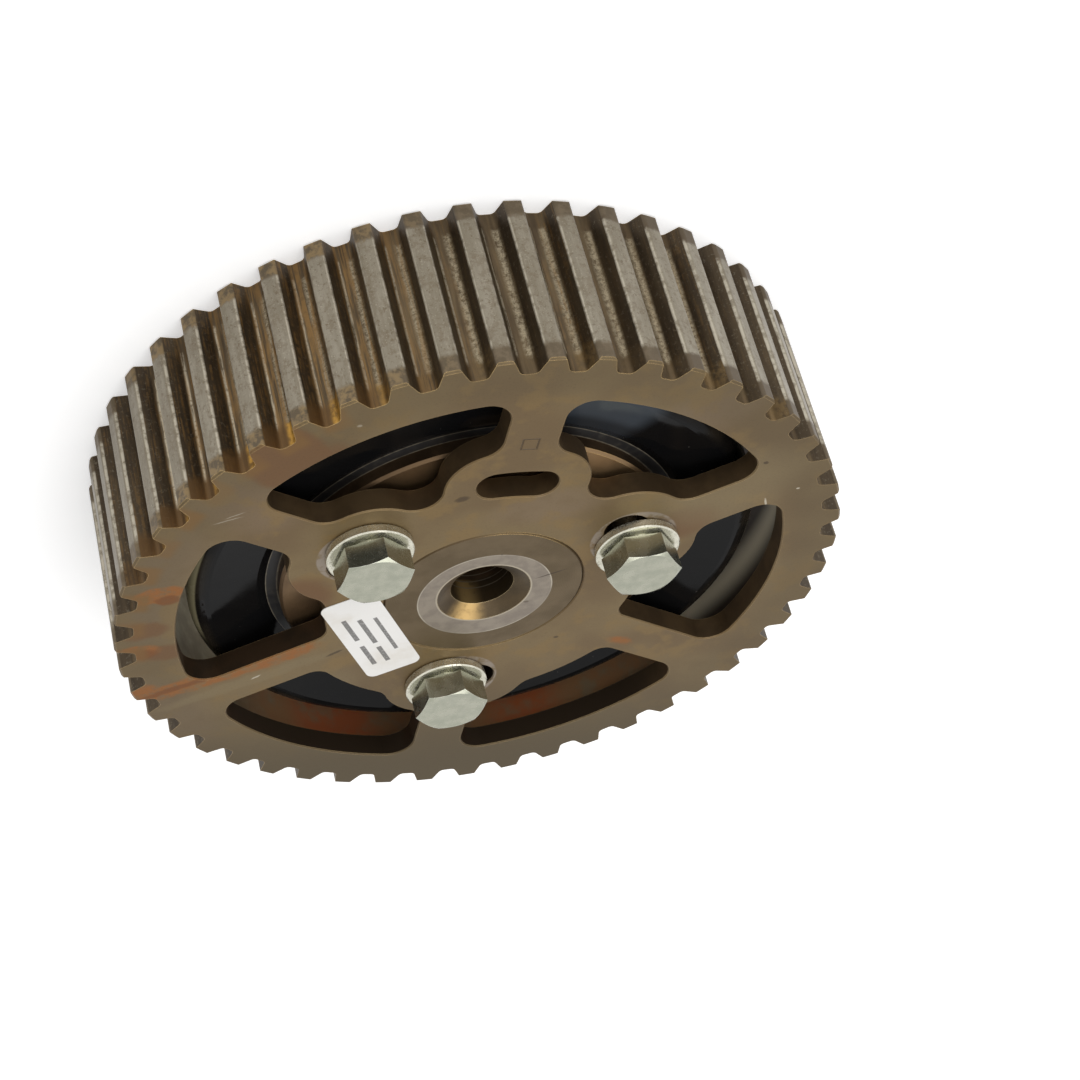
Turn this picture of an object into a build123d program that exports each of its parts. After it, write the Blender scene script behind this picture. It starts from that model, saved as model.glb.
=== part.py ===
from build123d import *
from math import cos, pi, radians, sin, tan
import os

# Adjustable camshaft sprocket with a damped hub, in millimetres.
# Z is the shaft axis. The sprocket lies on the back edge of its rim, at Z = 0, and the
# bolt heads look up. +Y runs along the spoke that carries the first clamp bolt.

os.makedirs("parts", exist_ok=True)

# Belt teeth
belt_pitch = 9.525
tooth_count = 48
belt_cord_height = 0.686
tooth_depth = 3.8
land_width = 3.1
groove_floor_width = 3.0
land_edge_radius = 0.8
groove_corner_radius = 1.2
tooth_end_chamfer = 0.4

# How far a cutting tool runs past the face it cuts
cutter_overrun = 1.0

# Rim and web of the toothed wheel
rim_width = 37.4
rim_wall = 4.3
rim_inside_fillet = 1.5
rim_back_chamfer = 0.8
web_thickness = 4.8
spoke_count = 6
spoke_width = 10.4
window_outer_radius = 60.3
window_corner_radius = 4.8
web_corner_radius = 3.3
side_web_radius = 31.5
top_web_radius = 37.4
web_edge_chamfer = 0.25
plain_spoke_angle = 30.0

# Slots for the clamp bolts, on every second spoke
clamp_angles = [90, 210, 330]
clamp_circle_radius = 31.2
slot_width = 9.0
slot_half_angle = 6.0
slot_wall = 7.5

# Slot for the timing pin, on the spoke opposite the first clamp bolt
pin_angle = 270
pin_slot_radius = 35.35
pin_slot_width = 7.6
pin_slot_half_angle = 6.7
pin_slot_wall = 6.2

# Hub
hub_setting_angle = -4.6
nose_radius = 19.9
nose_clearance = 0.05
nose_edge_chamfer = 0.3
seat_height = 1.6
seat_ring_radius = 24.0
seat_pad_radius = 7.0
flange_radius = 39.2
flange_edge_chamfer = 0.55
flange_thickness = 6.9
drum_length = 18.4
drum_inner_radius = 25.4
relief_fillet = 2.0
rear_boss_radius = 17.5
rear_boss_inset = 1.4
rear_boss_chamfer = 1.0
centre_bolt_hole = 12.6
lead_in_radius = 9.3
lead_in_depth = 1.9
camshaft_seat_diameter = 24.0
camshaft_seat_depth = 17.0
camshaft_seat_chamfer = 0.8
key_slot_width = 5.0
key_slot_depth = 2.0
timing_hole_diameter = 6.0
timing_hole_radius = 34.9

# Rubber ring and inertia ring of the damper
rubber_thickness = 2.4
rubber_length = 15.0
inertia_radius = 56.8
inertia_recess = 2.2
inertia_length = 17.6
inertia_edge_radius = 3.2
inertia_flat_width = 0.8
inertia_dish_depth = 1.35
inertia_bevel_width = 1.8
inertia_bevel_depth = 0.9
inertia_back_chamfer = 1.2

# Clamp bolts and washers
bolt_diameter = 8.0
bolt_length = 20.0
bolt_tip_chamfer = 0.9
thread_clearance = 0.04
head_width = 13.0
head_height = 5.0
head_crown_angle = 25.0
head_collar_diameter = 11.6
head_collar_height = 0.6
washer_diameter = 16.8
washer_thickness = 1.9
washer_hole = 8.4
washer_edge = 0.25
hex_angles = [18.4, 7.4, 20.9]

# Paper label across the seam of hub and web
label_length = 29.7
label_width = 11.4
label_thickness = 0.12
label_corner = 1.8
label_centre = (20.8, 12.1)
label_angle = -62.0

# Sizes that follow from the ones above
tip_radius = belt_pitch * tooth_count / (2 * pi) - belt_cord_height
root_radius = tip_radius - tooth_depth
rim_inner_radius = root_radius - rim_wall
half_pitch = 180 / tooth_count
half_window_angle = 180 / spoke_count
front = rim_width
web_back = front - web_thickness
flange_front = web_back - seat_height
drum_back = flange_front - drum_length
relief_floor = flange_front - flange_thickness
inertia_front = web_back - inertia_recess
rubber_outer_radius = flange_radius + rubber_thickness
rubber_front = inertia_front - inertia_dish_depth - inertia_bevel_depth
bolt_hole_radius = bolt_diameter / 2 + thread_clearance
washer_top = front + washer_thickness
bolt_angles = [angle + hub_setting_angle for angle in clamp_angles]


def at_angle(radius, angle):
    return (radius * cos(radians(angle)), radius * sin(radians(angle)))


def turned(*outline):
    """A solid of revolution about Z from an outline of (radius, height) points."""
    return revolve(Plane.XZ * make_face(Polyline(*outline, close=True)), Axis.Z)


def prism(sketch, bottom, top):
    return extrude(Pos(0, 0, bottom) * sketch, amount=top - bottom)


def cylinder(radius, bottom, top, x=0, y=0):
    return prism(Pos(x, y) * Circle(radius), bottom, top)


def arc_slot(radius, middle, half_angle, width):
    """A slot with round ends that follows a circle about the shaft."""
    path = CenterArc((0, 0), radius, middle - half_angle, 2 * half_angle)
    return SlotArc(arc=path, height=width)


def sector(start, end, reach):
    """A wedge of the face plane between two angles."""
    corners = [at_angle(reach / cos(radians(end - start) / 2), a) for a in (start, end)]
    return make_face(Polyline((0, 0), *corners, close=True))


# Belt teeth

def tooth_outline():
    """One tooth from groove middle to groove middle, centred on +X."""
    floor_x = root_radius
    floor_y = groove_floor_width / 2
    turn = radians(half_pitch)
    corner = (floor_x * cos(turn) + floor_y * sin(turn), floor_x * sin(turn) - floor_y * cos(turn))
    middle = at_angle(root_radius, half_pitch)
    land = (tip_radius, land_width / 2)
    upper = [land, corner, middle]
    lower = [(x, -y) for x, y in reversed(upper)]
    radii = [groove_corner_radius, land_edge_radius, land_edge_radius, groove_corner_radius]
    return FilletPolyline(*lower, *upper, radius=radii)


def toothed_face():
    """The outline of the rim, with one land on every multiple of the tooth angle."""
    tooth = tooth_outline()
    edges = []
    for i in range(tooth_count):
        edges += (Rot(0, 0, 2 * half_pitch * i) * tooth).edges()
    return make_face(edges)


# Windows of the web

def web_core(disc_radius):
    """What stays of the web between the shaft and the windows, spokes left out."""
    core = Circle(disc_radius)
    for angle in clamp_angles:
        core += arc_slot(clamp_circle_radius, angle, slot_half_angle, slot_width + 2 * slot_wall)
    width = pin_slot_width + 2 * pin_slot_wall
    return core + arc_slot(pin_slot_radius, pin_angle, pin_slot_half_angle, width)


def window_between(middle, disc_radius):
    """The sharp-cornered window whose middle lies at an angle."""
    sides = (middle - half_window_angle, middle + half_window_angle)
    window = Circle(window_outer_radius) & sector(*sides, window_outer_radius)
    for side in sides:
        window -= Rot(0, 0, side) * Pos(window_outer_radius / 2) * Rectangle(
            2 * window_outer_radius, spoke_width)
    return window - web_core(disc_radius)


def rolled(window, radius):
    """A window with its corners rounded as by a cutter that rolls round the inside."""
    return offset(offset(window, -radius), radius)


def plain_spoke_window(middle, disc_radius):
    """A window beside a spoke that has no boss, with a tighter corner at its foot."""
    window = window_between(middle, disc_radius)
    tight_corner = Pos(*at_angle(disc_radius, plain_spoke_angle)) * Circle(3 * web_corner_radius)
    return rolled(window, window_corner_radius) + (rolled(window, web_corner_radius) & tight_corner)


def window_faces():
    """All six windows: three on the right, and their mirror images."""
    by_pin_slot = window_between(pin_angle + half_window_angle, side_web_radius)
    right = [
        plain_spoke_window(plain_spoke_angle - half_window_angle, side_web_radius),
        plain_spoke_window(plain_spoke_angle + half_window_angle, top_web_radius),
        rolled(by_pin_slot, window_corner_radius)]
    return right + [mirror(window, Plane.YZ) for window in right]


# Toothed wheel

def toothed_wheel():
    wheel = prism(toothed_face(), 0, front)
    over = 2 * tooth_depth
    for end, inward in ((0, 1), (front, -1)):
        wheel -= turned(
            (tip_radius - tooth_end_chamfer, end), (tip_radius + over, end),
            (tip_radius + over, end + inward * (tooth_end_chamfer + over)))
    cavity = cylinder(rim_inner_radius, 0, web_back)
    wheel -= fillet(cavity.edges().sort_by(Axis.Z)[-1], rim_inside_fillet)
    wheel -= turned(
        (0, 0), (rim_inner_radius + rim_back_chamfer, 0), (rim_inner_radius, rim_back_chamfer),
        (0, rim_back_chamfer))
    openings = window_faces()
    for angle in clamp_angles:
        openings += [arc_slot(clamp_circle_radius, angle, slot_half_angle, slot_width)]
    openings += [arc_slot(pin_slot_radius, pin_angle, pin_slot_half_angle, pin_slot_width)]
    openings += [Circle(nose_radius + nose_clearance)]
    for opening in openings:
        wheel -= prism(opening, web_back - cutter_overrun, front + cutter_overrun)
    lips = wheel.edges().filter_by_position(Axis.Z, front, front)
    return chamfer(lips.filter_by(lambda e: edge_radius(e) < rim_inner_radius), web_edge_chamfer)


def edge_radius(edge):
    """How far the middle of an edge lies from the shaft axis."""
    middle = edge.position_at(0.5)
    return (middle.X ** 2 + middle.Y ** 2) ** 0.5


# Hub

def hub():
    """The turned hub. A ring and three pads stand above its flange and carry the web."""
    body = turned(
        (0, rear_boss_inset), (rear_boss_radius - rear_boss_chamfer, rear_boss_inset),
        (rear_boss_radius, rear_boss_inset + rear_boss_chamfer), (rear_boss_radius, relief_floor),
        (drum_inner_radius, relief_floor), (drum_inner_radius, drum_back),
        (flange_radius - flange_edge_chamfer, drum_back),
        (flange_radius, drum_back + flange_edge_chamfer),
        (flange_radius, flange_front - flange_edge_chamfer),
        (flange_radius - flange_edge_chamfer, flange_front), (seat_ring_radius, flange_front),
        (seat_ring_radius, web_back), (nose_radius, web_back),
        (nose_radius, front - nose_edge_chamfer), (nose_radius - nose_edge_chamfer, front),
        (0, front))
    relief_corners = body.edges().filter_by(GeomType.CIRCLE).filter_by_position(
        Axis.Z, relief_floor, relief_floor)
    body = fillet(relief_corners, relief_fillet)
    flange_top = Circle(flange_radius - flange_edge_chamfer)
    for angle in clamp_angles:
        pad = Pos(*at_angle(clamp_circle_radius, angle)) * Circle(seat_pad_radius)
        body += prism(pad & flange_top, flange_front, web_back)
    bolt_hole = centre_bolt_hole / 2
    body -= cylinder(bolt_hole, 0, front)
    body -= turned(
        (0, front), (lead_in_radius, front), (bolt_hole, front - lead_in_depth),
        (0, front - lead_in_depth))
    seat = camshaft_seat_diameter / 2
    seat_floor = rear_boss_inset + camshaft_seat_depth
    body -= cylinder(seat, 0, seat_floor)
    body -= turned(
        (0, rear_boss_inset), (seat + camshaft_seat_chamfer, rear_boss_inset),
        (seat, rear_boss_inset + camshaft_seat_chamfer), (0, rear_boss_inset + camshaft_seat_chamfer))
    key_slot = Pos((seat + key_slot_depth) / 2) * Rectangle(seat + key_slot_depth, key_slot_width)
    body -= prism(Rot(0, 0, clamp_angles[0]) * key_slot, 0, seat_floor)
    for angle in clamp_angles:
        body -= cylinder(bolt_hole_radius, 0, front, *at_angle(clamp_circle_radius, angle))
    body -= cylinder(timing_hole_diameter / 2, 0, front, *at_angle(timing_hole_radius, pin_angle))
    return Rot(0, 0, hub_setting_angle) * body


# Damper

def damper_rubber():
    back = rubber_front - rubber_length
    return turned(
        (flange_radius, back), (rubber_outer_radius, back),
        (rubber_outer_radius, rubber_front), (flange_radius, rubber_front))


def inertia_ring():
    """The heavy ring of the damper, with a dished front face and a round outer edge."""
    back = inertia_front - inertia_length
    ring = turned(
        (rubber_outer_radius, back), (inertia_radius - inertia_back_chamfer, back),
        (inertia_radius, back + inertia_back_chamfer), (inertia_radius, inertia_front),
        (inertia_radius - inertia_edge_radius - inertia_flat_width, inertia_front),
        (rubber_outer_radius + inertia_bevel_width, inertia_front - inertia_dish_depth),
        (rubber_outer_radius, rubber_front))
    outer_edge = ring.edges().filter_by_position(Axis.Z, inertia_front, inertia_front).sort_by(
        SortBy.LENGTH)[-1]
    return fillet(outer_edge, inertia_edge_radius)


# Clamp bolts and washers

def clamp_bolt(angle, hex_angle):
    """A hexagon bolt that holds the web between its washer and the hub."""
    shank = bolt_diameter / 2
    tip = washer_top - bolt_length
    head_bottom = washer_top + head_collar_height
    head_top = head_bottom + head_height
    half_head = head_width / 2
    reach = head_width
    crown = turned(
        (0, head_bottom), (reach, head_bottom),
        (reach, head_top - (reach - half_head) * tan(radians(head_crown_angle))),
        (half_head, head_top), (0, head_top))
    hexagon = prism(Rot(0, 0, hex_angle) * RegularPolygon(half_head, 6, major_radius=False),
                    head_bottom, head_top)
    head = hexagon & crown
    stem = turned(
        (0, tip), (shank - bolt_tip_chamfer, tip), (shank, tip + bolt_tip_chamfer),
        (shank, washer_top), (head_collar_diameter / 2, washer_top),
        (head_collar_diameter / 2, head_bottom), (0, head_bottom))
    return Pos(*at_angle(clamp_circle_radius, angle)) * (head + stem)


def washer(angle):
    inner = washer_hole / 2
    outer = washer_diameter / 2
    return Pos(*at_angle(clamp_circle_radius, angle)) * turned(
        (inner, front), (outer - washer_edge, front), (outer, front + washer_edge),
        (outer, washer_top - washer_edge), (outer - washer_edge, washer_top),
        (inner, washer_top))


# Label

def label():
    outline = RectangleRounded(label_length, label_width, label_corner)
    return prism(Pos(*label_centre) * Rot(0, 0, label_angle) * outline, front, front + label_thickness)


nodes = {
    "toothed_wheel": toothed_wheel(),
    "hub": hub(),
    "damper_rubber": damper_rubber(),
    "inertia_ring": inertia_ring(),
    "label": label(),
}
for number, (angle, hex_angle) in enumerate(zip(bolt_angles, hex_angles), start=1):
    nodes[f"clamp_bolt_{number}"] = clamp_bolt(angle, hex_angle)
    nodes[f"washer_{number}"] = washer(angle)

for name, solid in nodes.items():
    export_step(solid, f"parts/{name}.step")
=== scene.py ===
import bpy
import math
from mathutils import Matrix, Vector

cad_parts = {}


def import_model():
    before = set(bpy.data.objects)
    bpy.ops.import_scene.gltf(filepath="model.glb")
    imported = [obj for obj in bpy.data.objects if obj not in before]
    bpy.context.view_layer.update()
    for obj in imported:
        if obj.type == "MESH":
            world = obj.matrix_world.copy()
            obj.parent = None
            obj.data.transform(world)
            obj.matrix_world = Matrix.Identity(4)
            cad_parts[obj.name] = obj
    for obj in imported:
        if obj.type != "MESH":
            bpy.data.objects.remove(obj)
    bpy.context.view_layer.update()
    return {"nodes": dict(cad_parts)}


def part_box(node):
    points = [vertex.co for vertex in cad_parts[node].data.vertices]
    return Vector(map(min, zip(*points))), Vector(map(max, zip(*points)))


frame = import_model()
nodes = frame["nodes"]

# Sizes in metres. The outer ones are read from the frame
MM = 0.001
wheel_low, wheel_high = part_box("toothed_wheel")
FRONT = wheel_high.z
BACK = wheel_low.z
TIP_RADIUS = wheel_high.x
FLOOR_HEIGHT = BACK - 0.05 * MM

# Toothed wheel
TOOTH_COUNT = 48
TOOTH_ANGLE = 2 * math.pi / TOOTH_COUNT
ROOT_RADIUS = TIP_RADIUS - 3.8 * MM
WEB_BACK = FRONT - 4.8 * MM
WINDOW_RADIUS = 60.3 * MM
INNER_RADIUS = 64.0 * MM
END_MARGIN = 3.9 * MM

# Hub, damper and bolts
NOSE_RADIUS = 19.9 * MM
LEAD_IN_RADIUS = 9.3 * MM
CONTACT_RADIUS = 13.6 * MM
CONTACT_CENTRE = (-0.3 * MM, 0.7 * MM, 0)
TURNING_PITCH = 0.35 * MM
BORE_RADIUS = 6.3 * MM
BORE_RING_PITCH = 1.5 * MM
THREAD_PITCH = 1.25 * MM
THREADED_HOLE_RADIUS = 4.3 * MM
FLANGE_RADIUS = 39.2 * MM
RUBBER_RADIUS = 41.6 * MM
BOLT_NUMBERS = (1, 2, 3)

# Label. Its turn is in degrees
LABEL_CENTRE = (20.8 * MM, 12.1 * MM, 0)
LABEL_TURN = -62.0


def middle_of(node):
    low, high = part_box(node)
    return (low + high) / 2


# Node graphs

def colour(red, green, blue):
    """A colour from levels of 0 to 255, as a picture shows them."""
    def linear(level):
        share = level / 255
        return share / 12.92 if share <= 0.04045 else ((share + 0.055) / 1.055) ** 2.4
    return (linear(red), linear(green), linear(blue), 1.0)


class Shade:
    """A material's node graph, with a short call for each kind of node."""

    def __init__(self, name):
        self.material = bpy.data.materials.new(name)
        self.material.use_nodes = True
        self.tree = self.material.node_tree
        self.surface = self.tree.nodes["Principled BSDF"]
        where = self.tree.nodes.new("ShaderNodeTexCoord")
        self.place = where.outputs["Object"]
        self.x, self.y, self.z = self.add("ShaderNodeSeparateXYZ", self.place).outputs
        self.facing = self.add("ShaderNodeSeparateXYZ", where.outputs["Normal"]).outputs[2]
        self.radius = self.math("SQRT", self.math(
            "ADD", self.math("MULTIPLY", self.x, self.x), self.math("MULTIPLY", self.y, self.y)))
        self.angle = self.math("ARCTAN2", self.y, self.x)

    def add(self, kind, *values, **settings):
        node = self.tree.nodes.new(kind)
        for key, value in settings.items():
            setattr(node, key, value)
        for socket, value in zip(node.inputs, values):
            self.put(socket, value)
        return node

    def put(self, socket, value):
        if isinstance(value, bpy.types.NodeSocket):
            self.tree.links.new(value, socket)
        elif value is not None:
            socket.default_value = value

    def math(self, operation, *values):
        return self.add("ShaderNodeMath", *values, operation=operation).outputs[0]

    def vector(self, operation, *values):
        return self.add("ShaderNodeVectorMath", *values, operation=operation).outputs[0]

    def both(self, *masks):
        product = masks[0]
        for mask in masks[1:]:
            product = self.math("MULTIPLY", product, mask)
        return product

    def either(self, *masks):
        most = masks[0]
        for mask in masks[1:]:
            most = self.math("MAXIMUM", most, mask)
        return most

    def without(self, mask):
        return self.math("SUBTRACT", 1.0, mask)

    def ramp(self, value, low, high, out_low=0.0, out_high=1.0):
        """A smooth step from out_low at low to out_high at high."""
        node = self.add("ShaderNodeMapRange", value, low, high, out_low, out_high)
        node.interpolation_type = "SMOOTHSTEP"
        return node.outputs[0]

    def band(self, value, low, high, soft):
        """One between low and high, fading to zero over soft on each side."""
        rise = self.ramp(value, low - soft, low + soft)
        fall = self.ramp(value, high - soft, high + soft, 1.0, 0.0)
        return self.math("MULTIPLY", rise, fall)

    def around(self, start, end, soft):
        """A band between two angles about the shaft, in degrees."""
        return self.band(self.angle, *[math.radians(turn) for turn in (start, end, soft)])

    def wave(self, value, pitch):
        """A sine wave from -1 to 1."""
        return self.math("SINE", self.math("MULTIPLY", value, 2 * math.pi / pitch))

    def mix(self, share, low, high):
        node = self.tree.nodes.new("ShaderNodeMix")
        node.data_type = "RGBA"
        self.put(node.inputs["Factor"], share)
        self.put(node.inputs[6], low)
        self.put(node.inputs[7], high)
        return node.outputs[2]

    def blend(self, share, low, high):
        node = self.tree.nodes.new("ShaderNodeMix")
        self.put(node.inputs["Factor"], share)
        self.put(node.inputs[2], low)
        self.put(node.inputs[3], high)
        return node.outputs[0]

    def noise(self, size, detail=4.0, roughness=0.55, place=None, output=0):
        """Noise whose grains are about size metres across, from 0 to 1. Output 1 gives it in colour."""
        node = self.tree.nodes.new("ShaderNodeTexNoise")
        self.put(node.inputs["Vector"], place or self.place)
        self.put(node.inputs["Scale"], 1.0 / size)
        self.put(node.inputs["Detail"], detail)
        self.put(node.inputs["Roughness"], roughness)
        return node.outputs[output]

    def chance(self, number):
        """A random share from 0 to 1, the same wherever the number is the same."""
        return self.add("ShaderNodeTexWhiteNoise", None, number, noise_dimensions="1D").outputs[0]

    def warped(self, size, reach):
        """The place, pushed about by up to reach, so that edges come out ragged."""
        push = self.vector("SUBTRACT", self.noise(size, detail=3, output=1), (0.5, 0.5, 0.5))
        return self.vector("ADD", self.place, self.vector("MULTIPLY", push, (2 * reach,) * 3))

    def wrapped(self, along):
        """Coordinates wrapped round the shaft, with the axial one shrunk by a factor."""
        return self.add(
            "ShaderNodeCombineXYZ", self.math("MULTIPLY", self.angle, TIP_RADIUS), self.radius,
            self.math("MULTIPLY", self.z, along)).outputs[0]

    def patch(self, place, centre, size, turn, soft):
        """An oval on the front face: centre and half sizes in millimetres, turn in degrees."""
        reach = 0.0
        for half, direction in zip(size, (turn, turn + 90)):
            axis = Vector((math.cos(math.radians(direction)), math.sin(math.radians(direction)))) / half
            along = self.add("ShaderNodeVectorMath", place, (*(axis / MM), 0), operation="DOT_PRODUCT")
            away = self.math("SUBTRACT", along.outputs[1], axis.dot(centre))
            reach = self.math("MULTIPLY_ADD", away, away, reach)
        return self.ramp(reach, (1 - soft) ** 2, (1 + soft) ** 2, 1.0, 0.0)

    def patches(self, place, ovals):
        return self.either(*[self.patch(place, *oval) for oval in ovals])

    def distance(self, centre):
        """The distance from a line along the shaft's direction, through a centre."""
        x = self.math("SUBTRACT", self.x, centre[0])
        y = self.math("SUBTRACT", self.y, centre[1])
        return self.math("SQRT", self.math("ADD", self.math("MULTIPLY", x, x), self.math("MULTIPLY", y, y)))

    def upward(self):
        """One on faces that look up along the shaft, and zero on walls and flanks."""
        return self.ramp(self.facing, 0.55, 0.8)

    def edges(self, width):
        """One along sharp outer edges, within about width of them."""
        rounded = self.add("ShaderNodeBevel", width, samples=3).outputs[0]
        sharp = self.tree.nodes.new("ShaderNodeNewGeometry").outputs["Normal"]
        node = self.add("ShaderNodeVectorMath", rounded, sharp, operation="DOT_PRODUCT")
        return self.ramp(node.outputs[1], 0.86, 0.985, 1.0, 0.0)

    def finish(self, base, metallic, roughness, bump, bump_depth=0.03 * MM):
        self.put(self.surface.inputs["Base Color"], base)
        self.put(self.surface.inputs["Metallic"], metallic)
        self.put(self.surface.inputs["Roughness"], roughness)
        node = self.tree.nodes.new("ShaderNodeBump")
        self.put(node.inputs["Height"], bump)
        node.inputs["Distance"].default_value = bump_depth
        self.put(self.surface.inputs["Normal"], node.outputs[0])
        return self.material


# Arcs about the shaft, here and below, have a start, an end and a softness in degrees

# Seam of wheel and hub
# The seam's golden colour is a painted highlight, and its dark colour is painted shade.
SEAM_SHADE = colour(72, 56, 37)
SEAM_HIGHLIGHT = colour(228, 192, 124)
SEAM_HIGHLIGHT_ARC = (-132, -82, 10)
FAINTER_SEAM_HIGHLIGHT_ARC = (40, 130, 14)


def seam_colour(s):
    """The edges where the hub meets the web: a painted golden highlight over two arcs, and painted shade
    between them.
    """
    golden = s.either(s.around(*SEAM_HIGHLIGHT_ARC), s.both(s.around(*FAINTER_SEAM_HIGHLIGHT_ARC), 0.6))
    return s.mix(golden, SEAM_SHADE, SEAM_HIGHLIGHT)


# Front face of the wheel

OLIVE = colour(117, 99, 68)
WARM_BROWN = colour(106, 87, 59)
SHADED_BROWN = colour(84, 72, 50)
PINKISH = colour(118, 100, 77)
YELLOW_FILM = colour(124, 101, 62)
RUST_BROWN = colour(104, 75, 46)
RUST = colour(136, 86, 38)
DEEP_RUST = colour(108, 66, 30)
PALE_OLIVE = colour(122, 107, 78)
GRIME = colour(62, 48, 33)
BARE_STEEL = colour(190, 182, 164)
POLISHED = colour(150, 140, 130)

# Stains: centre, half sizes in millimetres, turn in degrees and softness
PINK_OVALS = [
    ((50, -34), (9, 6), -35, 0.5), ((63, -17), (9, 5), 70, 0.5), ((65, 2), (5, 6), 0, 0.5),
    ((58, 36), (6, 14), 30, 0.5), ((-30, -52), (12, 5), 30, 0.6), ((-8, -28), (9, 4), 10, 0.6)]
BROWN_OVALS = [
    ((45.2, -47.8), (13.5, 7.5), 133, 0.12), ((36, -3), (5, 6), 20, 0.4),
    ((31, -44), (9, 3), 140, 0.4), ((66.5, 4.5), (4.5, 2.6), 10, 0.3),
    ((-36, -19), (6, 4), 30, 0.6), ((62, 12.5), (4.5, 2.4), 15, 0.3)]
RUST_OVALS = [
    ((64.3, -7.2), (5.2, 2.7), 12, 0.14), ((67.3, 12.0), (4.6, 2.4), 12, 0.25),
    ((51, 22.6), (20, 2.6), 24, 0.22), ((38.0, 17.0), (7.5, 2.3), 28, 0.25),
    ((66.5, 26.4), (4.6, 2.0), 20, 0.3), ((-33, 21.5), (2.2, 0.8), -25, 0.9)]
DEEP_RUST_OVALS = [
    ((62.4, -5.6), (2.4, 1.4), 10, 0.25), ((65.6, 12.8), (2.4, 1.5), 10, 0.5),
    ((58, 25.6), (8, 0.7), 24, 0.6), ((69.5, 27), (2.2, 1.0), 20, 0.6)]
PALE_OVALS = [
    ((43, 24.8), (18, 1.5), 26, 0.4), ((30, 32), (8, 5), 40, 0.7), ((-42, -30), (12, 8), 30, 0.7)]
DARK_OVALS = [
    ((10.2, -31.9), (1.2, 0.7), 20, 0.5), ((-18.5, 18.2), (0.5, 0.35), 0, 0.4),
    ((-48.5, -37.4), (0.5, 0.45), 0, 0.3), ((27.5, 17.5), (1.6, 0.35), 35, 0.5)]
BRIGHT_OVALS = [
    ((-52.1, -24.5), (0.2, 1.1), 20, 0.5), ((-57.7, -28.4), (0.3, 0.2), 0, 0.5),
    ((42.5, 24.0), (0.9, 0.22), 40, 0.5)]
FAINT_OVALS = [
    ((53.7, -30.0), (2.2, 0.14), 20, 0.6), ((52.5, -31.4), (1.6, 0.12), 26, 0.6),
    ((33.0, -56.0), (0.4, 0.3), 0, 0.5)]

# A plain square stamp, and the rings that the washers rubbed beside the slots
STAMP_CENTRE = (0.2 * MM, -47.6 * MM)
STAMP_HALF = 1.5 * MM
STAMP_LINE = 0.16 * MM
RUBBED_TURN = math.radians(4.0)
RUBBED_RADII = (6.9 * MM, 8.6 * MM)


def stamp_mask(s):
    x = s.math("ABSOLUTE", s.math("SUBTRACT", s.x, STAMP_CENTRE[0]))
    y = s.math("ABSOLUTE", s.math("SUBTRACT", s.y, STAMP_CENTRE[1]))
    reach = s.math("MAXIMUM", x, y)
    return s.band(reach, STAMP_HALF - STAMP_LINE, STAMP_HALF + STAMP_LINE, 0.12 * MM)


def rubbed_mask(s):
    """Rings of bare metal where the washers sat before they were last moved."""
    rings = []
    for number in BOLT_NUMBERS:
        centre = middle_of(f"clamp_bolt_{number}")
        centre.rotate(Matrix.Rotation(RUBBED_TURN, 3, "Z"))
        rings.append(s.band(s.distance(centre), *RUBBED_RADII, 0.2 * MM))
    return s.either(*rings)


def oxide_film_and_shade(s, cloudy, ragged):
    """A thin film, olive to brown in clouds, with painted shade that darkens it at the rim and towards +Y.
    """
    broad = s.noise(26 * MM, detail=2)
    tone = s.mix(s.ramp(broad, 0.4, 0.62), OLIVE, WARM_BROWN)
    tone = s.mix(s.both(s.patches(ragged, PINK_OVALS), 0.7), tone, PINKISH)
    tone = s.mix(s.both(s.ramp(cloudy, 0.5, 0.72), 0.45), tone, WARM_BROWN)
    tone = s.mix(s.both(s.ramp(cloudy, 0.5, 0.36), 0.65), tone, YELLOW_FILM)
    # Painted shade: the face gets darker towards +Y and towards the rim.
    soiling_and_painted_shade = s.either(s.ramp(s.y, 20 * MM, 66 * MM), s.ramp(s.radius, 56 * MM, 66 * MM, 0.0, 0.4))
    return s.mix(soiling_and_painted_shade, tone, SHADED_BROWN)


def face_colour(s, cloudy, grain, stamp):
    """The oxide film with its stains, rubbed rings, stamp and grime."""
    ragged = s.warped(5 * MM, 1.1 * MM)
    crisp = s.warped(1.5 * MM, 0.25 * MM)
    streaky = s.noise(2.5 * MM, detail=4, roughness=0.65)
    rusting = s.ramp(streaky, 0.36, 0.56, 0.3, 0.95)
    stains = [
        (ragged, BROWN_OVALS, 0.9, RUST_BROWN), (ragged, RUST_OVALS, rusting, RUST),
        (ragged, DEEP_RUST_OVALS, 0.8, DEEP_RUST), (ragged, PALE_OVALS, 0.6, PALE_OLIVE),
        (crisp, DARK_OVALS, 0.75, GRIME), (crisp, BRIGHT_OVALS, 0.8, BARE_STEEL),
        (crisp, FAINT_OVALS, 0.35, BARE_STEEL)]
    tone = oxide_film_and_shade(s, cloudy, ragged)
    for place, ovals, strength, stain in stains:
        tone = s.mix(s.both(s.patches(place, ovals), strength), tone, stain)
    rubbed = s.both(rubbed_mask(s), s.ramp(streaky, 0.36, 0.56, 0.2, 1.0))
    tone = s.mix(s.both(rubbed, 0.75), tone, POLISHED)
    tone = s.mix(s.both(stamp, s.ramp(streaky, 0.3, 0.55, 0.25, 0.75)), tone, GRIME)
    return s.mix(s.both(s.ramp(grain, 0.5, 0.8), 0.2), tone, GRIME)


# Teeth

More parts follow.
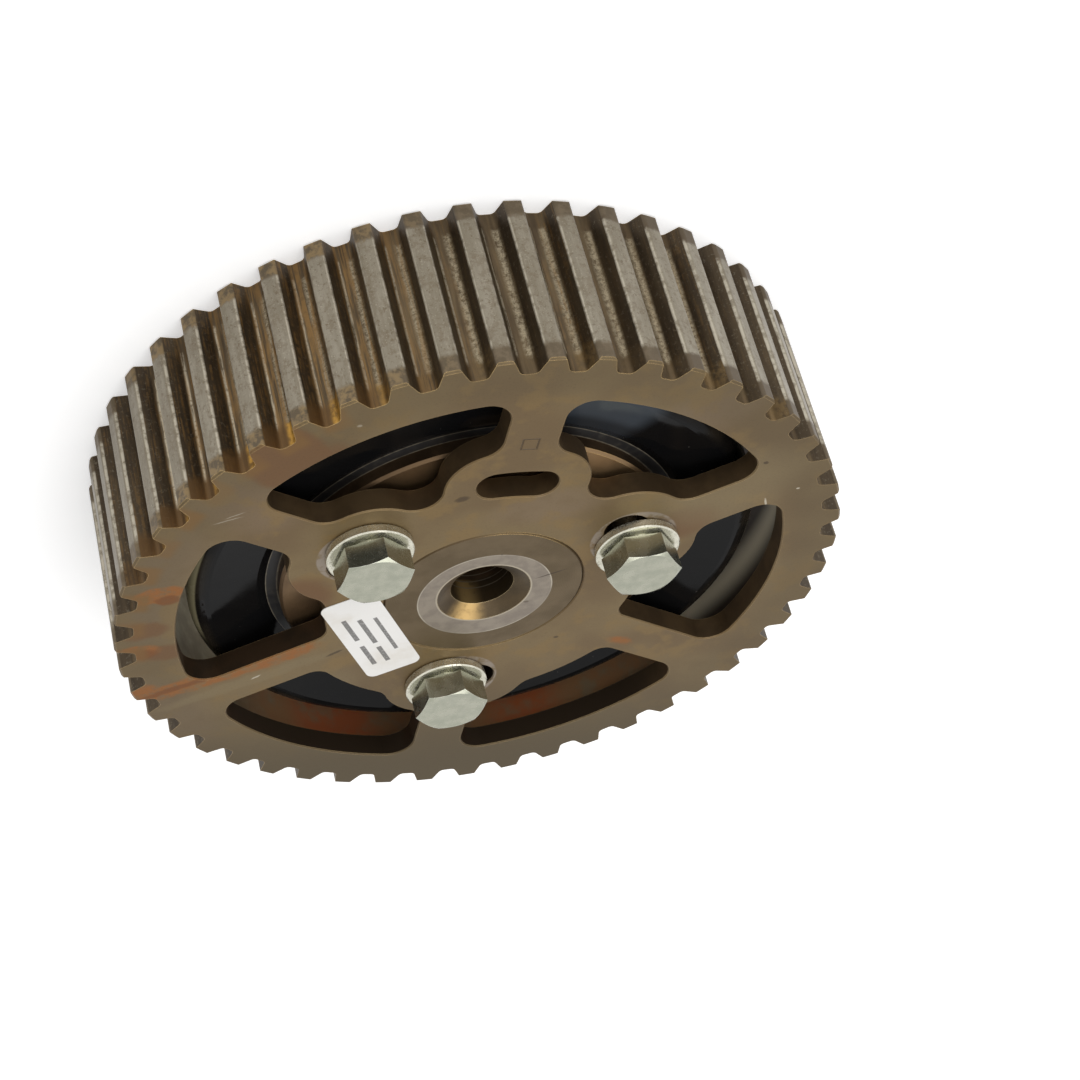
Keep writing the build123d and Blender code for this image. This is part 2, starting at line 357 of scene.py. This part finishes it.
LAND = colour(119, 110, 93)
PALE_LAND = colour(150, 143, 128)
PITTED = colour(94, 79, 58)
MARGIN = colour(108, 95, 76)
DARK_MARGIN = colour(94, 82, 64)
GOLDEN_MARGIN = colour(132, 112, 80)
SHADED_MARGIN = colour(92, 80, 64)
GROOVE = colour(98, 82, 58)
DARK_GROOVE = colour(74, 60, 41)
WORN_BAND = colour(158, 146, 121)
WORN_LINE = colour(200, 190, 166)
FLANK = colour(80, 67, 49)
DARK_FLANK = colour(60, 49, 35)
OCHRE = colour(132, 101, 58)
VARNISH = colour(98, 72, 40)
THIN_VARNISH_SHEEN = colour(128, 104, 66)
GOLDEN_SHEEN = colour(186, 142, 62)

LIT_LANDS = (-160, -106, 8)
GOLDEN_MARGINS = (-72, -20, 10)
SHADED_MARGINS = (-150, -106, 8)
OCHRE_FLOORS = (-74, -30, 8)
STAINED_GROOVES = (-72, -5, 8)
SLIGHTLY_STAINED_GROOVES = (-130, -50, 10)
VARNISHED_GROOVES = (-64, -10, 5)
THINLY_VARNISHED_GROOVES = (-140, -60, 6)


class Teeth:
    """Where a point lies on its tooth or groove, and the noises that lands and grooves share."""

    def __init__(self, s):
        turn = s.math("DIVIDE", s.angle, TOOTH_ANGLE)
        self.across = s.math("MULTIPLY", s.math("SUBTRACT", s.math("FRACT", turn), 0.5),
                             TOOTH_ANGLE * ROOT_RADIUS)
        self.groove_chance = s.chance(s.math("FLOOR", turn))
        self.blotches = s.noise(1.6 * MM, detail=4, roughness=0.65)
        wavy = s.math("MULTIPLY", s.math("SUBTRACT", self.blotches, 0.5), 2.2 * MM)
        self.height = s.math("ADD", s.z, wavy)
        self.wear_and_highlight = s.band(self.height, BACK + END_MARGIN, FRONT - END_MARGIN, 0.6 * MM)
        self.specks = s.noise(0.7 * MM, detail=3, roughness=0.75)
        self.fine = s.noise(0.3 * MM, detail=2)
        self.lengthwise = s.noise(1.8 * MM, detail=3, roughness=0.6, place=s.wrapped(0.12))
        self.streaks = s.noise(0.5 * MM, detail=3, roughness=0.6, place=s.wrapped(0.05))
        self.land_chance = s.chance(s.math("FLOOR", s.math("ADD", turn, 0.5)))
        self.on_land = s.ramp(s.radius, TIP_RADIUS - 0.7 * MM, TIP_RADIUS - 0.45 * MM)


def land_colour(s, teeth):
    """Bare pitted steel where the belt ran, between dark margins, with painted light on the lands and
    painted shade on the margins over one arc.
    """
    paleness_and_painted_light = s.math("ADD", s.ramp(teeth.lengthwise, 0.35, 0.7, 0.0, 0.5),
                   s.math("MULTIPLY", teeth.land_chance, 0.25))
    # Painted light: the lands over one arc of the rim are paler.
    paleness_and_painted_light = s.math("ADD", paleness_and_painted_light, s.both(s.around(*LIT_LANDS), 0.3))
    land = s.mix(paleness_and_painted_light, LAND, PALE_LAND)
    land = s.mix(s.both(s.ramp(teeth.blotches, 0.5, 0.38), 0.45), land, MARGIN)
    land = s.mix(s.both(s.ramp(teeth.specks, 0.44, 0.34), 0.6), land, PITTED)
    land = s.mix(s.both(s.ramp(teeth.fine, 0.6, 0.74), 0.35), land, BARE_STEEL)
    margin = s.mix(s.ramp(teeth.blotches, 0.35, 0.6), MARGIN, DARK_MARGIN)
    golden = s.both(s.around(*GOLDEN_MARGINS), s.ramp(teeth.blotches, 0.6, 0.4))
    margin = s.mix(golden, margin, GOLDEN_MARGIN)
    margin = s.mix(s.both(s.around(*SHADED_MARGINS), 0.8), margin, SHADED_MARGIN)
    return s.mix(teeth.wear_and_highlight, margin, land)


def floor_colour(s, teeth):
    """The floor of a groove: brown, with a pale band and a bright line worn along it."""
    floor = s.mix(s.ramp(teeth.lengthwise, 0.3, 0.7), DARK_GROOVE, GROOVE)
    pitted = s.math("MULTIPLY", s.ramp(teeth.specks, 0.3, 0.62), s.ramp(teeth.fine, 0.3, 0.55, 0.5, 1.0))
    pale_band = s.both(s.band(teeth.across, -1.7 * MM, -0.3 * MM, 0.45 * MM), pitted, teeth.wear_and_highlight)
    pale_line = s.both(s.band(teeth.across, 1.2 * MM, 1.55 * MM, 0.18 * MM),
                       s.ramp(teeth.streaks, 0.36, 0.5), s.ramp(teeth.specks, 0.36, 0.5, 0.3, 1.0),
                       teeth.wear_and_highlight)
    floor = s.mix(s.both(pale_band, 0.9), floor, WORN_BAND)
    floor = s.mix(s.both(pale_line, 0.9), floor, WORN_LINE)
    ochre = s.both(s.around(*OCHRE_FLOORS), s.ramp(teeth.streaks, 0.42, 0.58), 0.5)
    return s.mix(ochre, floor, OCHRE)


def groove_colour(s, teeth):
    """Floors and dark flanks, with ochre stains that differ from groove to groove."""
    flank = s.mix(s.ramp(teeth.lengthwise, 0.3, 0.75), DARK_FLANK, FLANK)
    flank = s.mix(s.both(s.ramp(teeth.specks, 0.56, 0.68), 0.5), flank, LAND)
    on_flank = s.ramp(s.radius, ROOT_RADIUS + 0.55 * MM, ROOT_RADIUS + 0.95 * MM)
    tone = s.mix(on_flank, floor_colour(s, teeth), flank)
    stained = s.both(s.around(*STAINED_GROOVES), s.ramp(teeth.groove_chance, 0.0, 1.0, 0.5, 1.0))
    slightly = s.both(s.around(*SLIGHTLY_STAINED_GROOVES), s.ramp(teeth.groove_chance, 0.5, 1.0, 0.15, 0.6))
    stain = s.both(s.either(stained, slightly), s.ramp(teeth.streaks, 0.46, 0.66),
                   s.ramp(teeth.blotches, 0.36, 0.56), 0.8)
    return s.mix(stain, tone, OCHRE)


def varnish_and_sheen(s, teeth, tone):
    """Baked oil at the front ends of some grooves, with a painted golden sheen on the lit side of each, and
    on the lit side of others a fainter painted sheen of thin varnish.
    """
    near_front = s.ramp(teeth.height, FRONT - 6.0 * MM, FRONT - 3.6 * MM)
    groove_end = s.both(near_front, s.without(teeth.on_land))
    lit_side = s.both(s.band(teeth.across, -3.0 * MM, -0.2 * MM, 0.5 * MM),
                      s.ramp(teeth.blotches, 0.34, 0.6, 0.2, 1.0))
    varnish = s.both(groove_end, s.around(*VARNISHED_GROOVES))
    tone = s.mix(s.both(varnish, 0.8), tone, VARNISH)
    # Painted sheen: gold, and thin varnish below, show only on the lit side of each groove end.
    tone = s.mix(s.both(varnish, lit_side), tone, GOLDEN_SHEEN)
    thin = s.both(groove_end, s.around(*THINLY_VARNISHED_GROOVES),
                  s.ramp(teeth.groove_chance, 0.3, 0.8, 0.1, 0.8))
    return s.mix(s.both(thin, lit_side, 0.7), tone, THIN_VARNISH_SHEEN)


def tooth_colour(s, teeth):
    """Lands and grooves, with a painted highlight and chips along the corners between them, and varnish
    with a painted sheen in front.
    """
    tone = s.mix(teeth.on_land, groove_colour(s, teeth), land_colour(s, teeth))
    # Painted highlight along the rounded corners of the lands, broken up by chips.
    on_corner = s.band(s.radius, TIP_RADIUS - 0.6 * MM, TIP_RADIUS - 0.15 * MM, 0.1 * MM)
    chips_and_corner_highlight = s.ramp(teeth.blotches, 0.38, 0.56, 0.15, 0.8)
    tone = s.mix(s.both(on_corner, teeth.wear_and_highlight, chips_and_corner_highlight), tone, BARE_STEEL)
    return varnish_and_sheen(s, teeth, tone)


# Walls of the windows and slots, and the rim's inner wall

WALL = colour(84, 67, 46)
PALE_WALL = colour(102, 82, 56)
REDDISH_WALL = colour(84, 62, 42)
DARK_WALL = colour(58, 46, 33)
INSIDE = colour(128, 118, 92)
PALE_INSIDE = colour(158, 150, 122)
RUSTY_INSIDE = colour(188, 140, 96)
RED_INSIDE = colour(206, 116, 70)
LIT_INSIDE_BAND = colour(228, 218, 192)

DARK_WALLS = (15, 140, 10)
REDDISH_WALLS = (5, 40, 8)
RUSTY_INSIDES = (52, 142, 8)
RED_INSIDES = [(64, 80, 4), (104, 116, 4)]

# The angles from the +X side between which the inner wall changes to its far side
FAR_SIDE = [math.radians(turn) for turn in (142, 150)]


def window_wall(s, cloudy):
    """Brown, darker round the side towards +Y, with a reddish stretch."""
    wall = s.mix(s.ramp(cloudy, 0.35, 0.65), WALL, PALE_WALL)
    wall = s.mix(s.around(*DARK_WALLS), wall, DARK_WALL)
    reddish = s.both(s.around(*REDDISH_WALLS), s.ramp(cloudy, 0.35, 0.6), 0.5)
    return s.mix(reddish, wall, REDDISH_WALL)


def inner_wall(s, cloudy):
    """Dusty, rusty towards +Y, and dark on the side towards -X, with a painted band of light across it."""
    inside = s.mix(s.ramp(cloudy, 0.35, 0.65), PALE_INSIDE, INSIDE)
    rusty = s.both(s.around(*RUSTY_INSIDES), s.ramp(cloudy, 0.3, 0.55, 0.4, 0.9))
    inside = s.mix(rusty, inside, RUSTY_INSIDE)
    red = s.either(*[s.around(*arc) for arc in RED_INSIDES])
    inside = s.mix(s.both(red, s.ramp(cloudy, 0.35, 0.55, 0.3, 0.9)), inside, RED_INSIDE)
    far = s.ramp(s.math("ABSOLUTE", s.angle), *FAR_SIDE)
    # Painted light: a pale band across the dark far side of the inner wall.
    painted_light_band = s.band(s.z, WEB_BACK - 11 * MM, WEB_BACK - 6 * MM, 2.5 * MM)
    return s.mix(far, inside, s.mix(painted_light_band, DARK_WALL, LIT_INSIDE_BAND))


# The wheel's material

HALO = colour(114, 84, 44)
EDGE_HIGHLIGHT = colour(168, 144, 104)
GOLDEN_EDGE_HIGHLIGHT = colour(204, 174, 118)

HALOS = (-60, 14, 4)
GOLDEN_HIGHLIGHT_EDGES = (-122, -14, 8)


def halo_mask(s, teeth, cloudy):
    """Brown spots on the front face, round the ends of some grooves."""
    return s.both(s.band(s.radius, ROOT_RADIUS - 2.2 * MM, TIP_RADIUS, 1.0 * MM),
                  s.band(teeth.across, -3.4 * MM, 2.2 * MM, 0.9 * MM), s.around(*HALOS),
                  s.ramp(cloudy, 0.35, 0.6, 0.35, 1.0), 0.75)


def wheel_edge_colour(s, on_side):
    """Painted highlights along the edges, more golden on one side of the rim, and the seam round the hub's
    nose.
    """
    edge = s.mix(s.both(on_side, s.around(*GOLDEN_HIGHLIGHT_EDGES)), EDGE_HIGHLIGHT, GOLDEN_EDGE_HIGHLIGHT)
    seam = s.band(s.radius, NOSE_RADIUS - 0.2 * MM, NOSE_RADIUS + 0.9 * MM, 0.2 * MM)
    return s.mix(seam, edge, seam_colour(s))


def wheel_relief(s, teeth, grain, stamp, is_face, on_side):
    """Grain on the front face, with the stamp pressed in, and specks on the teeth."""
    front = s.math("SUBTRACT", s.math("MULTIPLY", grain, 0.4), s.math("MULTIPLY", stamp, 3.0))
    side = s.math("ADD", teeth.specks, s.math("MULTIPLY", teeth.fine, 0.4))
    return s.math("ADD", s.both(front, is_face), s.both(side, s.without(is_face), on_side))


def steel_of_wheel():
    """Sintered steel, with a colour of its own for the front face, the teeth and the walls."""
    s = Shade("sintered_steel")
    cloudy = s.noise(8 * MM, detail=4, roughness=0.6)
    grain = s.noise(0.45 * MM, detail=2)
    stamp = stamp_mask(s)
    face = face_colour(s, cloudy, grain, stamp)
    teeth = Teeth(s)
    side = tooth_colour(s, teeth)

    is_face = s.upward()
    face = s.mix(halo_mask(s, teeth, cloudy), face, HALO)
    on_wall = s.ramp(s.radius, WINDOW_RADIUS + 0.6 * MM, WINDOW_RADIUS + 1.4 * MM, 1.0, 0.0)
    on_side = s.ramp(s.radius, INNER_RADIUS + 1.2 * MM, INNER_RADIUS + 1.8 * MM)
    within = s.mix(on_wall, inner_wall(s, cloudy), window_wall(s, cloudy))
    base = s.mix(is_face, s.mix(on_side, within, side), face)

    # Painted highlight along the wheel's sharp edges.
    edge_highlight = s.both(s.edges(0.22 * MM), s.ramp(cloudy, 0.35, 0.55, 0.4, 0.9))
    base = s.mix(edge_highlight, base, wheel_edge_colour(s, on_side))
    rough = s.blend(s.both(on_side, teeth.wear_and_highlight), 0.5, 0.4)
    return s.finish(base, 0.7, rough, wheel_relief(s, teeth, grain, stamp, is_face, on_side))


# Hub

FILM = colour(98, 82, 57)
DARK_FILM = colour(88, 73, 49)
HUB_SIDE = colour(72, 56, 40)
PALE_HUB_SIDE = colour(96, 76, 54)
FLANGE = colour(92, 72, 50)
PALE_FLANGE = colour(120, 96, 68)
LIT_FLANGE = colour(160, 130, 94)
CONTACT = colour(142, 132, 118)
DARK_CONTACT = colour(128, 118, 106)
INNER_LIP = colour(184, 174, 154)
SCRATCH = colour(58, 46, 34)
DOT = colour(78, 66, 52)
CONE = colour(84, 69, 47)
DARK_CONE = colour(66, 55, 39)
CONE_SHEEN = colour(178, 148, 96)
BORE_RING = colour(150, 140, 122)
HUB_EDGE_HIGHLIGHT = colour(196, 176, 134)

LIT_FLANGE_ARC = (-140, -92, 6)
CONE_SHEEN_ARC = (56, 92, 16)
CONTACT_SCRATCH = ((-12.6, -5.0), (2.6, 0.16), 24, 0.5)
CONTACT_DOTS = [((-1.2, -12.9), (0.2, 0.2), 0, 0.5), ((-9.4, 4.2), (0.5, 0.3), 0, 0.5)]


def hub_film_and_light(s, cloudy, is_face):
    """A brown film over the nose, the flange and the sides, with painted light on the flange over one arc.
    """
    nose = s.mix(s.ramp(cloudy, 0.35, 0.65), FILM, DARK_FILM)
    flange = s.mix(s.ramp(cloudy, 0.3, 0.7), PALE_FLANGE, FLANGE)
    # Painted light: the flange is brighter over one arc.
    flange = s.mix(s.around(*LIT_FLANGE_ARC), flange, LIT_FLANGE)
    on_nose = s.ramp(s.radius, NOSE_RADIUS + 0.4 * MM, NOSE_RADIUS + 1.2 * MM, 1.0, 0.0)
    side = s.mix(s.ramp(cloudy, 0.3, 0.7), HUB_SIDE, PALE_HUB_SIDE)
    return s.mix(is_face, side, s.mix(on_nose, flange, nose))


def contact_ring(s, base, cloudy, nose_face, contact, reach):
    """The bare ring where the centre bolt's head sat, with bright lips, a scratch and two dots."""
    grey = s.mix(s.ramp(s.noise(3 * MM), 0.35, 0.65), CONTACT, DARK_CONTACT)
    base = s.mix(contact, base, grey)
    lip = s.both(nose_face, s.band(reach, CONTACT_RADIUS - 0.3 * MM, CONTACT_RADIUS - 0.1 * MM, 0.08 * MM),
                 s.ramp(cloudy, 0.4, 0.6, 0.2, 1.0))
    base = s.mix(s.both(lip, 0.7), base, BARE_STEEL)
    inner_lip = s.both(nose_face, s.band(s.radius, LEAD_IN_RADIUS, LEAD_IN_RADIUS + 0.35 * MM, 0.12 * MM))
    base = s.mix(s.both(inner_lip, 0.7), base, INNER_LIP)
    crisp = s.warped(1.2 * MM, 0.1 * MM)
    base = s.mix(s.both(nose_face, s.patch(crisp, *CONTACT_SCRATCH), 0.8), base, SCRATCH)
    return s.mix(s.both(nose_face, s.patches(crisp, CONTACT_DOTS), 0.7), base, DOT)


def bore_colour(s, base, cloudy, is_face):
    """The lead-in cone with a painted golden reflection over one arc, and the turned rings below it."""
    front = s.ramp(s.z, WEB_BACK - 3 * MM, WEB_BACK - 2 * MM)
    cone = s.both(s.ramp(s.radius, LEAD_IN_RADIUS, LEAD_IN_RADIUS + 0.1 * MM, 1.0, 0.0), front)
    dull = s.mix(s.ramp(cloudy, 0.3, 0.7), CONE, DARK_CONE)
    # Painted reflection: the cone turns golden over one arc.
    sheen = s.both(s.around(*CONE_SHEEN_ARC), s.ramp(s.noise(1.8 * MM), 0.3, 0.55, 0.5, 1.0))
    base = s.mix(cone, base, s.mix(sheen, dull, CONE_SHEEN))
    rings = s.ramp(s.wave(s.z, BORE_RING_PITCH), 0.8, 0.98)
    in_bore = s.both(s.ramp(s.radius, BORE_RADIUS + 0.1 * MM, BORE_RADIUS + 0.3 * MM, 1.0, 0.0),
                     s.band(s.z, FRONT - 9.5 * MM, FRONT - 4.5 * MM, 0.5 * MM), s.without(is_face))
    return s.mix(s.both(in_bore, rings, 0.7), base, BORE_RING)


def hub_relief(s, is_face):
    """Threads in the bolts' holes, turning marks on the faces and a fine grain."""
    threads = s.math("SINE", s.math("ADD", s.math("MULTIPLY", s.z, 2 * math.pi / THREAD_PITCH), s.angle))
    gaps = [s.distance(middle_of(f"clamp_bolt_{number}")) for number in BOLT_NUMBERS]
    holes = [s.ramp(gap, THREADED_HOLE_RADIUS, THREADED_HOLE_RADIUS + 0.1 * MM, 1.0, 0.0) for gap in gaps]
    in_hole = s.both(s.either(*holes), s.without(is_face))
    turned = s.both(s.wave(s.radius, TURNING_PITCH), is_face, 0.25)
    grain = s.math("MULTIPLY", s.noise(0.5 * MM, detail=3), 0.5)
    return s.math("ADD", s.both(threads, in_hole, 6.0), s.math("ADD", turned, grain))


def steel_of_hub():
    """Turned steel: a brown film, a bare ring where the centre bolt's head sat, tapped holes."""
    s = Shade("hub_steel")
    cloudy = s.noise(7 * MM, detail=5)
    is_face = s.upward()
    nose_face = s.both(is_face, s.ramp(s.z, FRONT - 0.3 * MM, FRONT - 0.1 * MM))
    reach = s.distance(CONTACT_CENTRE)
    contact = s.both(nose_face, s.ramp(reach, CONTACT_RADIUS - 0.12 * MM, CONTACT_RADIUS, 1.0, 0.0))
    base = contact_ring(s, hub_film_and_light(s, cloudy, is_face), cloudy, nose_face, contact, reach)
    base = bore_colour(s, base, cloudy, is_face)
    # Painted highlight along the hub's sharp edges, with the seam's painted highlight and shade at the
    # nose.
    on_seam = s.ramp(s.radius, NOSE_RADIUS - 0.6 * MM, NOSE_RADIUS - 0.3 * MM)
    edge = s.mix(on_seam, HUB_EDGE_HIGHLIGHT, seam_colour(s))
    base = s.mix(s.both(s.edges(0.28 * MM), 0.75), base, edge)
    rough = s.blend(contact, s.ramp(cloudy, 0.3, 0.7, 0.34, 0.46), 0.42)
    return s.finish(base, 0.75, rough, hub_relief(s, is_face), 0.02 * MM)


# Damper

RUBBER = colour(33, 32, 32)
DUSTY_RUBBER = colour(50, 47, 42)
RUBBER_RIM_HIGHLIGHT = colour(120, 112, 96)
RUBBER_SHINE = 0.25

PAINT = colour(12, 13, 15)
BROWN_PAINT = colour(20, 19, 18)
SPECK = colour(120, 116, 108)
OILY_DUST = colour(58, 50, 38)
BLUISH_REFLECTION = colour(62, 67, 73)
BEVEL_HIGHLIGHT = colour(134, 127, 100)
PAINT_SHINE = 0.07
REFLECTION_ARC = (-121, -98, 3)
BEVEL_HIGHLIGHT_ARC = (-35, 20, 4)


def rubber():
    """Dusty black rubber, with a painted pale highlight along both of its rims."""
    s = Shade("rubber")
    dust = s.noise(1.5 * MM, detail=5, roughness=0.7)
    base = s.mix(s.ramp(dust, 0.45, 0.75), RUBBER, DUSTY_RUBBER)
    # Painted highlight along both rims of the rubber.
    wear_and_highlight = s.either(s.band(s.radius, FLANGE_RADIUS, FLANGE_RADIUS + 0.25 * MM, 0.12 * MM),
                    s.band(s.radius, RUBBER_RADIUS - 0.2 * MM, RUBBER_RADIUS, 0.1 * MM))
    base = s.mix(s.both(wear_and_highlight, s.ramp(dust, 0.3, 0.6, 0.3, 0.9)), base, RUBBER_RIM_HIGHLIGHT)
    s.surface.inputs["Specular IOR Level"].default_value = RUBBER_SHINE
    return s.finish(base, 0.0, s.ramp(dust, 0.3, 0.7, 0.36, 0.5), dust)


def black_paint():
    """Glossy black paint with specks, a painted bluish reflection over one stretch, dust near the outer
    bevel, and a painted highlight on the bevel over one arc.
    """
    s = Shade("black_paint")
    film = s.noise(9 * MM, detail=4)
    specks = s.noise(0.5 * MM, detail=2)
    base = s.mix(s.ramp(specks, 0.76, 0.8), s.mix(film, PAINT, BROWN_PAINT), SPECK)
    dusty = s.ramp(s.radius, 53 * MM, 55.4 * MM)
    base = s.mix(s.both(dusty, s.ramp(film, 0.35, 0.65, 0.1, 0.4)), base, OILY_DUST)
    # Painted reflection: a bluish stretch on the face of the ring.
    reflection = s.both(s.around(*REFLECTION_ARC), s.ramp(s.radius, 45 * MM, 48 * MM, 0.4, 1.0))
    base = s.mix(reflection, base, BLUISH_REFLECTION)
    # Painted highlight on the outer bevel over one arc.
    lit_bevel = s.both(s.ramp(s.radius, 55.3 * MM, 55.7 * MM), s.around(*BEVEL_HIGHLIGHT_ARC))
    base = s.mix(lit_bevel, base, BEVEL_HIGHLIGHT)
    rough = s.math("ADD", s.ramp(film, 0.35, 0.7, 0.08, 0.2), s.both(dusty, 0.12))
    s.surface.inputs["Specular IOR Level"].default_value = PAINT_SHINE
    return s.finish(base, 0.0, rough, s.noise(4 * MM, detail=2), 0.02 * MM)


# Bolts, washers and label

BOLT_ZINC = colour(160, 162, 146)
PALE_BOLT_ZINC = colour(176, 176, 160)
WASHER_ZINC = colour(206, 203, 186)
PALE_WASHER_ZINC = colour(222, 219, 203)
ZINC_PIT = colour(104, 100, 80)
ZINC_EDGE_HIGHLIGHT = colour(232, 231, 220)

PAPER = colour(238, 236, 232)
SOILED_PAPER = colour(226, 221, 212)
INK = colour(92, 90, 88)

# Plain bars on the label: centre and half sizes in millimetres
INK_BARS = [
    ((-6.4, 2.9), (3.9, 0.5)), ((4.2, 2.9), (4.2, 0.5)), ((-7.6, 0.1), (3.0, 0.5)),
    ((2.0, 0.1), (4.9, 0.5)), ((-0.8, -2.8), (6.6, 0.4))]


def zinc(name, low, high, pitting, grain):
    """Zinc plating between two tones, with dark pits over a share of it and a painted highlight along its
    edges.
    """
    s = Shade(name)
    cloudy = s.noise(3 * MM, detail=4)
    fine = s.noise(grain, detail=3, roughness=0.7)
    base = s.mix(s.ramp(cloudy, 0.3, 0.7), low, high)
    pits = s.ramp(fine, 0.66 - 0.16 * pitting, 0.72 - 0.16 * pitting)
    base = s.mix(s.both(pits, 0.2 + 0.6 * pitting), base, ZINC_PIT)
    # Painted highlight along the sharp edges.
    base = s.mix(s.both(s.edges(0.14 * MM), 0.8), base, ZINC_EDGE_HIGHLIGHT)
    rough = s.math("ADD", s.ramp(cloudy, 0.3, 0.7, 0.2, 0.3), s.both(pits, 0.2))
    return s.finish(base, 0.9, rough, s.math("MULTIPLY", pits, -pitting), 0.02 * MM)


def label_paper():
    """White paper with a few plain grey bars."""
    s = Shade("label_paper")
    local = s.add("ShaderNodeMapping", s.place, LABEL_CENTRE, (0, 0, math.radians(LABEL_TURN)),
                  (1, 1, 1), vector_type="TEXTURE").outputs[0]
    along, across, _ = s.add("ShaderNodeSeparateXYZ", local).outputs
    fibre = s.noise(0.4 * MM, detail=4)
    soiling_and_painted_shade = s.noise(8 * MM, detail=4)
    base = s.mix(s.ramp(soiling_and_painted_shade, 0.45, 0.75), PAPER, SOILED_PAPER)
    for (x, y), (long, wide) in INK_BARS:
        bar = s.both(s.band(along, (x - long) * MM, (x + long) * MM, 0.06 * MM),
                     s.band(across, (y - wide) * MM, (y + wide) * MM, 0.06 * MM))
        base = s.mix(s.both(bar, s.ramp(fibre, 0.3, 0.5, 0.6, 0.9)), base, INK)
    return s.finish(base, 0.0, 0.55, fibre, 0.01 * MM)


def dress(node, material):
    """Gives a CAD mesh one material in place of what it had."""
    mesh = nodes[node].data
    mesh.materials.clear()
    mesh.materials.append(material)


dress("toothed_wheel", steel_of_wheel())
dress("hub", steel_of_hub())
dress("damper_rubber", rubber())
dress("inertia_ring", black_paint())
dress("label", label_paper())
bolt_zinc = zinc("bolt_zinc", BOLT_ZINC, PALE_BOLT_ZINC, pitting=0.1, grain=0.3 * MM)
washer_zinc = zinc("washer_zinc", WASHER_ZINC, PALE_WASHER_ZINC, pitting=0.6, grain=0.34 * MM)
for number in BOLT_NUMBERS:
    dress(f"clamp_bolt_{number}", bolt_zinc)
    dress(f"washer_{number}", washer_zinc)


# Floor, world, lamps and camera

FLOOR_SIZE = 6.0
FLOOR_LIFT = 0.4
SOFT_LIGHT = 0.6
SEEN_LIGHT = 1.0
AIM = Vector((0, 0, 0.02))

# The camera was fitted to the tooth tips in the photograph. The turns are in degrees
SENSOR_WIDTH = 36.0
LENS = 88.01
CAMERA_PLACE = (0.136738, -0.415585, 0.310499)
CAMERA_TURNS = (-56.2957, -12.6678, -168.3736)


def seen_directly(tree):
    """One for what the camera, metal or glass sees, and zero for what only lights the object."""
    rays = tree.nodes.new("ShaderNodeLightPath")
    seen = rays.outputs["Is Camera Ray"]
    for kind in ("Is Glossy Ray", "Is Transmission Ray"):
        either = tree.nodes.new("ShaderNodeMath")
        either.operation = "MAXIMUM"
        tree.links.new(seen, either.inputs[0])
        tree.links.new(rays.outputs[kind], either.inputs[1])
        seen = either.outputs[0]
    return seen


def stage():
    """A white floor, lifted a little where it is seen, so that its shadow stays pale."""
    bpy.ops.mesh.primitive_plane_add(size=FLOOR_SIZE, location=(0, 0, FLOOR_HEIGHT))
    floor = bpy.context.object
    floor.name = "floor"
    material = bpy.data.materials.new("floor_white")
    material.use_nodes = True
    tree = material.node_tree
    surface = tree.nodes["Principled BSDF"]
    surface.inputs["Base Color"].default_value = (0.9, 0.9, 0.9, 1)
    surface.inputs["Roughness"].default_value = 0.9
    surface.inputs["Emission Color"].default_value = (1, 1, 1, 1)
    lift = tree.nodes.new("ShaderNodeMath")
    lift.operation = "MULTIPLY"
    tree.links.new(seen_directly(tree), lift.inputs[0])
    lift.inputs[1].default_value = FLOOR_LIFT
    tree.links.new(lift.outputs[0], surface.inputs["Emission Strength"])
    floor.data.materials.append(material)


def world():
    """Soft even light. What the camera, metal and glass see of it is plain white."""
    studio = bpy.data.worlds.new("studio")
    bpy.context.scene.world = studio
    studio.use_nodes = True
    tree = studio.node_tree
    tree.nodes.clear()
    mix = tree.nodes.new("ShaderNodeMixShader")
    tree.links.new(seen_directly(tree), mix.inputs[0])
    for socket, strength in ((1, SOFT_LIGHT), (2, SEEN_LIGHT)):
        background = tree.nodes.new("ShaderNodeBackground")
        background.inputs["Color"].default_value = (1, 1, 1, 1)
        background.inputs["Strength"].default_value = strength
        tree.links.new(background.outputs[0], mix.inputs[socket])
    out = tree.nodes.new("ShaderNodeOutputWorld")
    tree.links.new(mix.outputs[0], out.inputs[0])


def lamp(name, place, size, power):
    """A round lamp that points at the object."""
    data = bpy.data.lights.new(name, "AREA")
    data.shape = "DISK"
    data.size = size
    data.energy = power
    obj = bpy.data.objects.new(name, data)
    bpy.context.collection.objects.link(obj)
    obj.location = place
    obj.rotation_mode = "QUATERNION"
    obj.rotation_quaternion = (AIM - Vector(place)).to_track_quat("-Z", "Y")


def camera():
    """The photograph's view, with the picture turned upside down."""
    data = bpy.data.cameras.new("camera")
    data.sensor_width = SENSOR_WIDTH
    data.lens = LENS
    obj = bpy.data.objects.new("camera", data)
    bpy.context.collection.objects.link(obj)
    obj.rotation_mode = "XYZ"
    obj.location = CAMERA_PLACE
    obj.rotation_euler = [math.radians(turn) for turn in CAMERA_TURNS]
    bpy.context.scene.camera = obj


stage()
world()
camera()
lamp("overhead", place=(-0.16, -0.1, 0.75), size=0.7, power=1.9)
lamp("side", place=(-0.1, -0.85, 0.4), size=0.6, power=2.0)
bpy.context.scene.view_settings.view_transform = "Standard"
